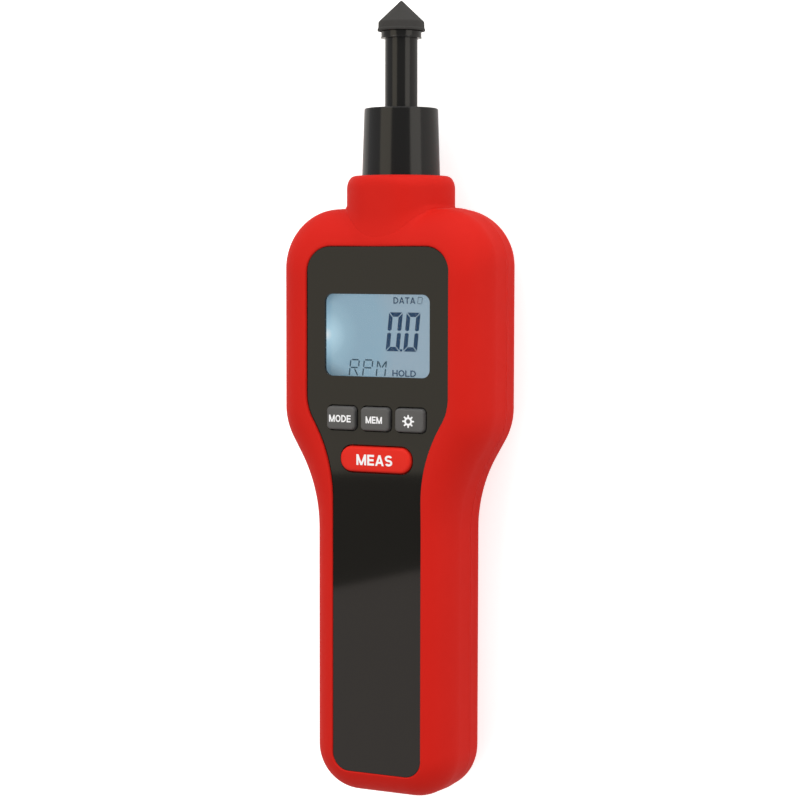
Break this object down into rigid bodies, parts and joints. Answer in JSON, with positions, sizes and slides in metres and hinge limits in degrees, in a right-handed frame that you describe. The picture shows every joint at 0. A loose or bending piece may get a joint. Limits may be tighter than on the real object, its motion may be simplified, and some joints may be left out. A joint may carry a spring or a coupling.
{
  "type": "laser tachometer",
  "caption": "Handheld laser tachometer in a moulded red case with a black front panel, display and keys, and a pull-off contact adapter with a bearing-mounted rubber cone.",
  "frame": {"origin": "under the middle of the overall length, on the flat back that the meter lies on", "axes": "+X across to the right as seen from the front, +Y along the body towards the contact tip, +Z out of the front panel"},
  "size_m": [0.064, 0.22, 0.0319],
  "materials": {
    "red_shell": "soft matte",
    "black_panel": "satin black",
    "clear_lens": "clear",
    "lcd_cell": "display glass",
    "white_acrylic": "clear white",
    "led_white": "lamp",
    "dark_elastomer": "matte",
    "board_green": "solder mask",
    "chip_black": "moulded",
    "switch_black": "moulded",
    "screw_steel": "plated",
    "barrel_black": "matte black",
    "red_window": "clear red",
    "laser_brass": "turned",
    "receiver_dark": "tinted",
    "tray_black": "moulded",
    "cell_wrap": "printed wrap",
    "contact_nickel": "nickel plated",
    "lead_wire": "insulated wire",
    "grey_key": "satin",
    "red_key": "satin",
    "plunger_white": "moulded",
    "adapter_black": "gloss black",
    "bearing_steel": "ground",
    "shaft_black": "gloss black",
    "tip_rubber": "matte",
    "reflector_silver": "reflective"
  },
  "bodies": {
    "housing": {"front_shell": "red_shell", "rear_shell": "red_shell", "front_panel": "black_panel", "lcd_lens": "clear_lens", "lcd_glass": "lcd_cell", "backlight_guide": "white_acrylic", "backlight_led": "led_white", "zebra_strips": "dark_elastomer", "main_board": "board_green", "processor_chip": "chip_black", "switch_bodies": "switch_black", "board_screws": "screw_steel", "housing_screws": "screw_steel", "optics_barrel": "barrel_black", "optics_window": "red_window", "laser_module": "laser_brass", "light_receiver": "receiver_dark", "optics_board": "board_green", "board_header": "switch_black", "battery_tray": "tray_black", "battery_cells": "cell_wrap", "battery_springs": "contact_nickel", "battery_plates": "contact_nickel", "battery_leads": "lead_wire"},
    "mode_key": {"mode_key": "grey_key", "mode_plunger": "plunger_white"},
    "memory_key": {"memory_key": "grey_key", "memory_plunger": "plunger_white"},
    "backlight_key": {"backlight_key": "grey_key", "backlight_plunger": "plunger_white"},
    "measure_key": {"measure_key": "red_key", "measure_plunger": "plunger_white"},
    "battery_door": {"battery_door": "red_shell"},
    "contact_adapter": {"adapter_sleeve": "adapter_black", "outer_races": "bearing_steel", "bearing_balls": "bearing_steel", "bearing_spacer": "bearing_steel", "sleeve_snap_ring": "screw_steel"},
    "spindle": {"drive_shaft": "shaft_black", "contact_tip": "tip_rubber", "inner_races": "bearing_steel", "shaft_circlip": "screw_steel", "reflector_disc": "reflector_silver"}
  },
  "joints": [
    {"name": "mode_key_press", "type": "slide", "parent": "housing", "child": "mode_key", "axis": [0, 0, -1], "range_m": [0, 0.0007], "stiffness_N_per_m": 1500, "springref_m": -0.0005},
    {"name": "memory_key_press", "type": "slide", "parent": "housing", "child": "memory_key", "axis": [0, 0, -1], "range_m": [0, 0.0007], "stiffness_N_per_m": 1500, "springref_m": -0.0005},
    {"name": "backlight_key_press", "type": "slide", "parent": "housing", "child": "backlight_key", "axis": [0, 0, -1], "range_m": [0, 0.0007], "stiffness_N_per_m": 1500, "springref_m": -0.0005},
    {"name": "measure_key_press", "type": "slide", "parent": "housing", "child": "measure_key", "axis": [0, 0, -1], "range_m": [0, 0.0007], "stiffness_N_per_m": 1500, "springref_m": -0.0005},
    {"name": "battery_door_slide", "type": "slide", "parent": "housing", "child": "battery_door", "axis": [0, -1, 0], "range_m": [0, 0.064]},
    {"name": "adapter_pull", "type": "slide", "parent": "housing", "child": "contact_adapter", "axis": [0, 1, 0], "range_m": [0, 0.016]},
    {"name": "spindle_spin", "type": "hinge", "parent": "contact_adapter", "child": "spindle", "pos_m": [0, 0.09, 0.0152], "axis": [0, 1, 0], "continuous": true}
  ]
}
